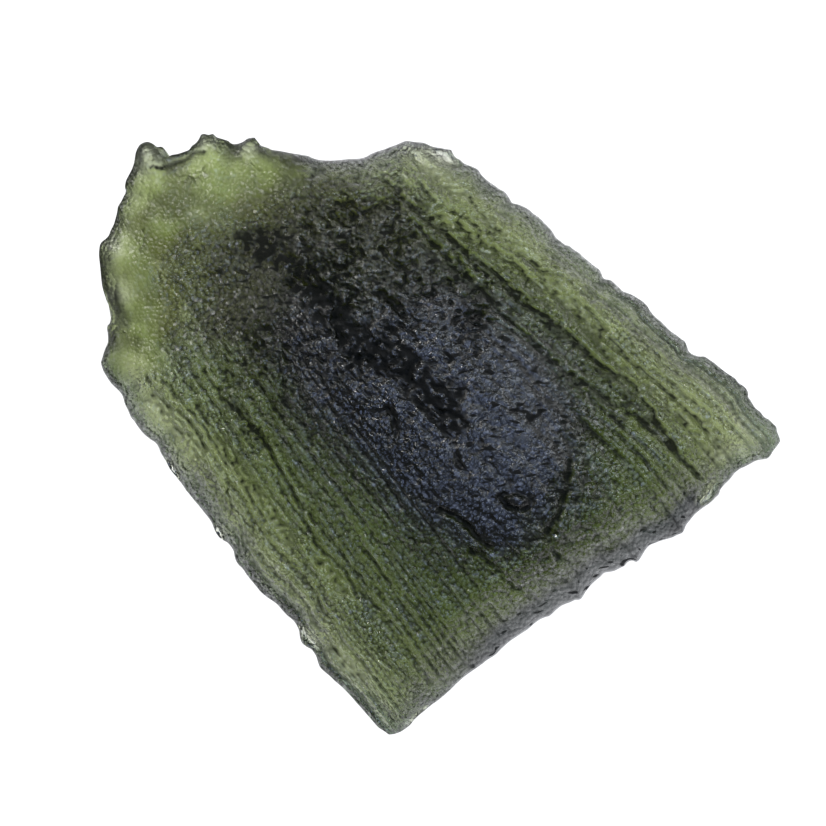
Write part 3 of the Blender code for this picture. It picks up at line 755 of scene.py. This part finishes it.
# %% Build the mesh
def rim_walk(cells_across, cells_along):
    """Grid places round the rim, anticlockwise seen from above."""
    down = [(row, 0) for row in range(cells_along)]
    right = [(cells_along, column) for column in range(cells_across)]
    up = [(row, cells_across) for row in range(cells_along, 0, -1)]
    back = [(0, column) for column in range(cells_across, 0, -1)]
    return down + right + up + back


def cell_corners(rows, columns, first):
    """The four corner numbers of every cell of a grid, anticlockwise seen from above."""
    number = first + np.arange(rows * columns).reshape(rows, columns)
    corners = number[:-1, :-1], number[1:, :-1], number[1:, 1:], number[:-1, 1:]
    return np.stack(corners, -1).reshape(-1, 4)


def points_of(place, height):
    """Grid places and heights in mm, as a list of points in metres about the box's middle."""
    middle = np.array([STONE_LENGTH / 2, STONE_WIDTH / 2])
    return np.column_stack([(place - middle).reshape(-1, 2), height.ravel()]) * MM


top_points, under_points = points_of(PLACE, top), points_of(under_place, under)
first_under = len(top_points)
rows, columns = under.shape
top_cells = cell_corners(ALONG + 1, ACROSS + 1, 0)
under_cells = cell_corners(rows, columns, first_under)[:, ::-1]
fine_rim = [row * (ACROSS + 1) + column for row, column in rim_walk(ACROSS, ALONG)]
coarse_rim = [first_under + r * columns + c for r, c in rim_walk(columns - 1, rows - 1)]
band = []
for index, low in enumerate(coarse_rim):
    next_low = coarse_rim[(index + 1) % len(coarse_rim)]
    a, b, c = (fine_rim[(2 * index + k) % len(fine_rim)] for k in range(3))
    band += [(low, b, a), (low, next_low, b), (next_low, c, b)]
mesh = bpy.data.meshes.new("moldavite_glass")
faces = top_cells.tolist() + under_cells.tolist() + band
mesh.from_pydata(np.vstack([top_points, under_points]).tolist(), [], faces)
mesh.validate()
stone = bpy.data.objects.new("moldavite_stone", mesh)
bpy.context.scene.collection.objects.link(stone)
mesh.shade_smooth()
print("triangles:", sum(len(face.vertices) - 2 for face in mesh.polygons))

# %% Values at each point, and the flat map
BLUR_ROUNDS = 12
FULL_HOLLOW, FULL_RIDGE = 0.14, 0.09
RIM_FADE_REACH = 1.1
MARGIN_SHEEN, BREAK_SHEEN, SCAR_SHEEN, SCRATCH_SHEEN = 0.34, 0.15, 0.9, 0.5
MAP_FILL = 2.08


def blurred(height):
    """The height with everything under about half a millimetre smoothed away."""
    for _ in range(BLUR_ROUNDS):
        padded = np.pad(height, 1, mode="edge")
        height = (padded[:-2, 1:-1] + 2 * padded[1:-1, 1:-1] + padded[2:, 1:-1]) / 4
        padded = np.pad(height, 1, mode="edge")
        height = (padded[1:-1, :-2] + 2 * padded[1:-1, 1:-1] + padded[1:-1, 2:]) / 4
    return height


def per_point(name, top_value):
    """Stores one number for each point, the underside's taken from the grid above it."""
    layer = mesh.attributes.new(name, "FLOAT", "POINT")
    values = np.concatenate([top_value.ravel(), top_value[every, every].ravel()])
    layer.data.foreach_set("value", values.astype(np.float32))


sunk = blurred(top) - top
# Nearness to the rim, where the glass is painted grey for the grey that reflected light gives it.
rim_fade = np.clip(1 - RIM / RIM_FADE_REACH, 0, 1) ** 0.6
break_skin = BREAK_BAND * (1 - scarred)
right_half = steps_up(lean_y, 20.5, 25.5)
sheen = MARGIN_SHEEN * (1 + CROWN + 0.3 * right_half) * (1 - SMOOTH) * (1 - DARK)
sheen = sheen + DARK * (0.19 + 0.42 * right_half * (1 - BLUE))
sheen = (sheen + BLUE * (0.08 + 0.22 * right_half)) * (1 - 0.7 * SHADE)
sheen = sheen + SCRATCH_SHEEN * np.clip(scratches / 0.12, 0, 1)
sheen = sheen * (1 - break_skin) + BREAK_SHEEN * break_skin
# hollow and ridge feed the glass's painted shade and painted highlight, and rim its painted grey.
kept = {
    "hollow": np.clip(sunk / FULL_HOLLOW, 0, 1) * np.clip(RIM / 0.6, 0, 1) * (1 - scarred),
    "ridge": np.clip(-sunk / FULL_RIDGE, 0, 1),
    "rim": rim_fade * (1 - scarred) * (1 - 0.75 * NEAR_BULB) * (1 - BREAK_BAND),
    "sheen": np.maximum(sheen, SCAR_SHEEN * scarred),
    "dark": np.maximum(DARK, break_skin),
    "blue": np.maximum(BLUE, break_skin),
    "break": break_skin,
    "belts": BELTS,
    "smooth": np.maximum(SMOOTH, smooth_windows),
    "window": np.maximum(np.maximum(smooth_windows, scarred), 0.65 * pale),
    "shade": SHADE,
    "glow": GLOW * (1 - DARK),
    "flute_u": U,
    "flute_v": V,
}
for name, value in kept.items():
    per_point(name, value)
layer = mesh.uv_layers.new(name="OFBake")
span = max(STONE_LENGTH, STONE_WIDTH) * MM * MAP_FILL
points = np.vstack([top_points, under_points])[:, :2] / span
shift = np.where(np.arange(len(points)) < first_under, 0.25, 0.75)
flat_map = np.column_stack([points[:, 0] + shift, points[:, 1] + 0.5])
corner_points = np.empty(len(mesh.loops), np.int32)
mesh.loops.foreach_get("vertex_index", corner_points)
layer.uv.foreach_set("vector", flat_map[corner_points].astype(np.float32).ravel())
print("map spans", flat_map.min(axis=0).round(3), "to", flat_map.max(axis=0).round(3))

# %% [markdown]
# ## Writing shader maths
#
# Trees written node by node are hard to read. A small class wraps a socket, so that
# `1 - mask * 0.5` adds the Math nodes by itself. Any other node comes from one method, which
# takes the node's type, its settings and its inputs.

# %% A socket that does arithmetic
class Wire:
    """A number that varies over a surface, as a node socket."""

    def __init__(self, tree, socket):
        self.tree, self.socket = tree, socket

    def node(self, kind, settings=None, inputs=None, output=0):
        """Adds a node with these settings and inputs, and gives one of its outputs."""
        made = self.tree.nodes.new(kind)
        for name, value in (settings or {}).items():
            setattr(made, name, value)
        for name, value in (inputs or {}).items():
            if isinstance(value, Wire):
                self.tree.links.new(value.socket, made.inputs[name])
            else:
                made.inputs[name].default_value = value
        return Wire(self.tree, made.outputs[output])

    def maths(self, operation, *values):
        return self.node("ShaderNodeMath", {"operation": operation}, dict(enumerate(values)))

    def __add__(self, other):
        return self.maths("ADD", self, other)

    def __sub__(self, other):
        return self.maths("SUBTRACT", self, other)

    def __mul__(self, other):
        if isinstance(other, tuple):
            return self.tinted(other)
        return self.maths("MULTIPLY", self, other)

    def __rsub__(self, other):
        return self.maths("SUBTRACT", other, self)

    __radd__, __rmul__ = __add__, __mul__

    def tinted(self, colour):
        """A colour multiplied by another, channel by channel."""
        settings = {"data_type": "RGBA", "blend_type": "MULTIPLY"}
        return self.node("ShaderNodeMix", settings, {0: 1.0, 6: self, 7: colour}, output=2)

    def held(self, low, high):
        """The value kept between two limits and given as a share of the way."""
        inputs = {"Value": self, "From Min": low, "From Max": high}
        return self.node("ShaderNodeMapRange", {"clamp": True}, inputs)

    def mixed(self, first, second):
        """A colour that goes from the first to the second as this value goes from 0 to 1."""
        settings = {"data_type": "RGBA"}
        inputs = {0: self, 6: first, 7: second}
        return self.node("ShaderNodeMix", settings, inputs, output=2)


def new_material(name):
    """An empty material: its tree as a Wire to start from, its output node and itself."""
    material = bpy.data.materials.new(name)
    material.use_nodes = True
    tree = material.node_tree
    tree.nodes.clear()
    output = tree.nodes.new("ShaderNodeOutputMaterial")
    return Wire(tree, None), output, material


# %% [markdown]
# ## The glass
#
# Moldavite is plain glass: no pigment, no layers. Light that goes through it loses blue first,
# then red, and least green, so a thin rim is bright green and a thick crown nearly black. A
# Volume Absorption does that from two constants.
#
# The surface is clear glass of index 1.49. Its tint is plain on windows and scars and
# brownish in the shade. Painted shade makes it dark between the grains and nearly black in
# hollows, gaps and short dashes, and ridges are left plain as a painted highlight. Sandy
# spots carry a faint rough coat, whose sheen takes the colour of the lights, and a few sparks.
#
# Grains of a fifth of a millimetre and less are finer than the mesh. A bump of round grains
# and of streaks along the flutes carries those.

# %% Green glass
GLASS_INDEX = 1.49
ABSORB_COLOUR = (0.44, 0.52, 0.14, 1)
ABSORB_PER_METRE = 680
CLEAR = (1.0, 1.0, 1.0, 1)
STREAK_DARK = (0.3, 0.31, 0.33, 1)
CROWN_DARK = (0.02, 0.02, 0.04, 1)
OLIVE_DARK = (0.28, 0.26, 0.15, 1)
SMOOTH_TINT = (0.66, 0.7, 0.38, 1)
SMOOTH_DARK = (0.28, 0.28, 0.16, 1)
SHADE_TINT = (0.56, 0.52, 0.3, 1)
PLAIN_TINT = (0.92, 0.98, 1.00, 1)
# Painted shade between the grains.
GRAIN_GAP_PAINTED_SHADE = (0.12, 0.12, 0.12, 1)
LINE_DARK = (0.22, 0.22, 0.22, 1)
# Painted shade: near black in hollows, gaps and dashes, where shade falls.
HOLLOW_PAINTED_SHADE = (0.01, 0.01, 0.008, 1)
# Painted grey at the rim, standing in for its reflected light.
RIM_PAINTED_GREY = (0.24, 0.3, 0.25, 1)
# Painted shade on the steep break band, tinted blue for the cool light it reflects.
BREAK_PAINTED_SHADE = (0.006, 0.013, 0.045, 1)
BUMP_METRES = 0.0001
COAT_INDEX, COAT_ROUGHNESS = 1.8, 0.4
SATIN, HOLLOW_ROUGH = 0.14, 0.7
# Waves to a metre of each noise on the surface
PATCHES, SAND, DASHES, GAPS = 500, 1500, 1700, 2300
SPARKS, SPECKS, GRAINS = 3900, 4600, 5000

start, output, glass = new_material("green_glass")


def stored(name):
    """One of the numbers that were stored at each point."""
    return start.node("ShaderNodeAttribute", {"attribute_name": name}, output="Fac")


def noise_at(vector, scale, detail):
    """Soft noise from 0 to 1, scale counted per metre."""
    inputs = {"Vector": vector, "Scale": scale, "Detail": detail}
    return start.node("ShaderNodeTexNoise", inputs=inputs, output="Fac")


hollow, ridge, rim, dark, blue = map(stored, ("hollow", "ridge", "rim", "dark", "blue"))
belts, sheen, smooth, window = map(stored, ("belts", "sheen", "smooth", "window"))
broken, shade, glow = map(stored, ("break", "shade", "glow"))
place = start.node("ShaderNodeTexCoord", output="Object")


def along_flutes(across, along, detail):
    """Soft noise drawn out along the flutes, counted in waves across and along the stone."""
    flutes = {"X": stored("flute_u") * across, "Y": stored("flute_v") * along}
    return noise_at(start.node("ShaderNodeCombineXYZ", inputs=flutes), 1, detail)


def grains_at(scale):
    """Round grains side by side, near 1 on their tops and 0 between them."""
    inputs, plan = {"Vector": place, "Scale": scale}, {"voronoi_dimensions": "2D"}
    return 0.96 - start.node("ShaderNodeTexVoronoi", plan, inputs, output="Distance")


patches, grain, streaks = noise_at(place, PATCHES, 1), grains_at(GRAINS), along_flutes(420, 14, 0)
wide_streaks = along_flutes(46, 5, 1).held(0.4, 0.58)
off_the_line = (along_flutes(64, 4, 1) - 0.5).maths("ABSOLUTE").held(0.006, 0.022)
speckle = (grain + noise_at(place, SPECKS, 0)).held(0.85, 1.15)
sand = (grain + noise_at(place, SAND, 0) * 0.45).held(0.685, 0.945)
gaps = 1 - noise_at(place, GAPS, 0).held(0.43, 0.56)
dash_place = start.node("ShaderNodeMapping", inputs={"Vector": place, "Scale": (1.0, 2.2, 1.0)})
spots = noise_at(dash_place, DASHES, 0).held(0.67, 0.74)
sparks = (noise_at(place, SPARKS, 0) + dark * 0.04 - broken * 0.07).held(0.67, 0.74)

# %% Colour, roughness and coat from those
# Painted shade: hollows, the dashes on the dark crown and the gaps in the belts go near black.
black = hollow + spots * dark + gaps * (belts + (dark - dark * blue) * 0.25)
mottled = patches.held(0.36, 0.64).mixed(SMOOTH_DARK, SMOOTH_TINT)
streaked = smooth.mixed(wide_streaks.mixed(STREAK_DARK, CLEAR), mottled)
lifted = (glow * 0.45).mixed(glow.mixed(streaked * PLAIN_TINT, streaked), CLEAR)
shaded = shade.mixed(lifted, lifted * SHADE_TINT)
lined = (off_the_line + smooth + dark).mixed(shaded * LINE_DARK, shaded)
thick = dark.mixed(lined, blue.mixed(OLIVE_DARK, CROWN_DARK))
# Painted shade in the gaps between grains; grain tops keep the plain tint.
grain_gaps_shaded = (speckle + smooth * 0.8 + rim * 0.4).mixed(thick * GRAIN_GAP_PAINTED_SHADE, thick)
# Ridges are left plain as a painted highlight; windows and scars are clear glass.
bright = (ridge * (1 - dark) * (1 - smooth) + window).mixed(grain_gaps_shaded, CLEAR)
# The rim is painted grey for its reflected light, and the break band painted dark blue as shade.
rim_and_break_painted = broken.mixed(rim.mixed(bright, RIM_PAINTED_GREY), BREAK_PAINTED_SHADE)
skin_height = (grain * 0.8 + streaks * 0.25) * (1 - smooth * 0.6 - blue * 0.35)
coat = (sand * (1 - blue * 0.45) + blue * 0.35) * sheen * 1.1 + sparks * (1 - blue * 0.4)
surface = start.node("ShaderNodeBsdfPrincipled", inputs={
    "Base Color": black.mixed(rim_and_break_painted, HOLLOW_PAINTED_SHADE),
    "Roughness": SATIN + patches * 0.08 + black * HOLLOW_ROUGH + smooth * 0.12 + broken * 0.05,
    "IOR": GLASS_INDEX,
    "Transmission Weight": 1.0,
    "Normal": start.node("ShaderNodeBump", inputs={"Height": skin_height, "Distance": BUMP_METRES}),
    "Coat Weight": coat * (1 - black),
    "Coat Roughness": COAT_ROUGHNESS,
    "Coat IOR": COAT_INDEX,
})
absorbed = {"Color": ABSORB_COLOUR, "Density": ABSORB_PER_METRE}
depth = start.node("ShaderNodeVolumeAbsorption", inputs=absorbed)
start.tree.links.new(surface.socket, output.inputs["Surface"])
start.tree.links.new(depth.socket, output.inputs["Volume"])
mesh.materials.append(glass)
print("glass nodes:", len(start.tree.nodes))

# %% [markdown]
# ## Into the frame
#
# The fine mesh takes the place of the plain solid and rides on the same body.

# %% Replace the solid
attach(stone, "root")
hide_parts("moldavite")

# %% [markdown]
# ## Floor, light and camera
#
# The stone lies on a plain white floor that glows a little, like a sheet of paper on a light
# table, so the glass is lit from behind as well as from above. One large cool light
# overhead gives the bluish sheen of the crown, and three smaller ones draw the edges of the
# flutes.
#
# The camera looks straight down through a long lens, so that the outline isn't distorted.

# %% The floor
FLOOR_HALF, FLOOR_DROP = 0.6, 0.00003
FLOOR_GLOW = 1.0
floor_mesh = bpy.data.meshes.new("floor")
signs = [(-1, -1), (1, -1), (1, 1), (-1, 1)]
corners = [(a * FLOOR_HALF, b * FLOOR_HALF, -FLOOR_DROP) for a, b in signs]
floor_mesh.from_pydata(corners, [], [(0, 1, 2, 3)])
floor = bpy.data.objects.new("floor", floor_mesh)
bpy.context.scene.collection.objects.link(floor)
start, output, paper = new_material("white_paper")
paper_surface = start.node("ShaderNodeBsdfPrincipled", inputs={
    "Base Color": (0.3, 0.3, 0.3, 1),
    "Roughness": 0.9,
    "Emission Color": (1, 1, 1, 1),
    "Emission Strength": FLOOR_GLOW,
})
start.tree.links.new(paper_surface.socket, output.inputs["Surface"])
floor_mesh.materials.append(paper)

# %% Lights
from mathutils import Vector


def soft_light(name, place, size, power, colour):
    """A square light panel that faces the stone."""
    light = bpy.data.lights.new(name, "AREA")
    light.size, light.energy, light.color = size, power, colour
    panel = bpy.data.objects.new(name, light)
    panel.location = place
    panel.rotation_euler = (-Vector(place)).to_track_quat("-Z", "Y").to_euler()
    bpy.context.scene.collection.objects.link(panel)
    return panel


soft_light("cool_overhead", (0.08, -0.1, 0.88), 0.5, 2.6, (0.47, 0.6, 1.0))
soft_light("upper_right", (0.2, 0.28, 0.62), 0.14, 0.8, (0.75, 0.87, 1.0))
soft_light("glint", (-0.3, 0.35, 0.45), 0.06, 1.2, (1.0, 0.98, 0.95))
soft_light("right", (0.45, 0.2, 0.35), 0.15, 0.6, (0.95, 0.98, 1.0))
world = bpy.data.worlds.new("studio")
world.use_nodes = True
background = world.node_tree.nodes["Background"].inputs
background["Color"].default_value = (0.9, 0.95, 1.0, 1)
background["Strength"].default_value = 0.15
bpy.context.scene.world = world
bpy.context.scene.view_settings.view_transform = "Standard"

# %% The camera
PHOTO_PIXELS = 826
MM_PER_PIXEL = 0.05
STONE_LEFT_PIXEL, STONE_TIP_PIXEL = 99, 734.5
CAMERA_HEIGHT = 0.6
view_width = PHOTO_PIXELS * MM_PER_PIXEL * MM
camera_data = bpy.data.cameras.new("camera")
camera = bpy.data.objects.new("camera", camera_data)
bpy.context.scene.collection.objects.link(camera)
middle_x = (PHOTO_PIXELS / 2 - STONE_LEFT_PIXEL) * MM_PER_PIXEL - STONE_LENGTH / 2
middle_y = (STONE_TIP_PIXEL - PHOTO_PIXELS / 2) * MM_PER_PIXEL - STONE_WIDTH / 2
camera.location = (middle_x * MM, middle_y * MM, CAMERA_HEIGHT)
camera_data.lens = camera_data.sensor_width * (CAMERA_HEIGHT - RIM_HEIGHT * MM) / view_width
bpy.context.scene.camera = camera
print("camera lens:", round(camera_data.lens), "mm, view", round(view_width * 1000, 1), "mm wide")
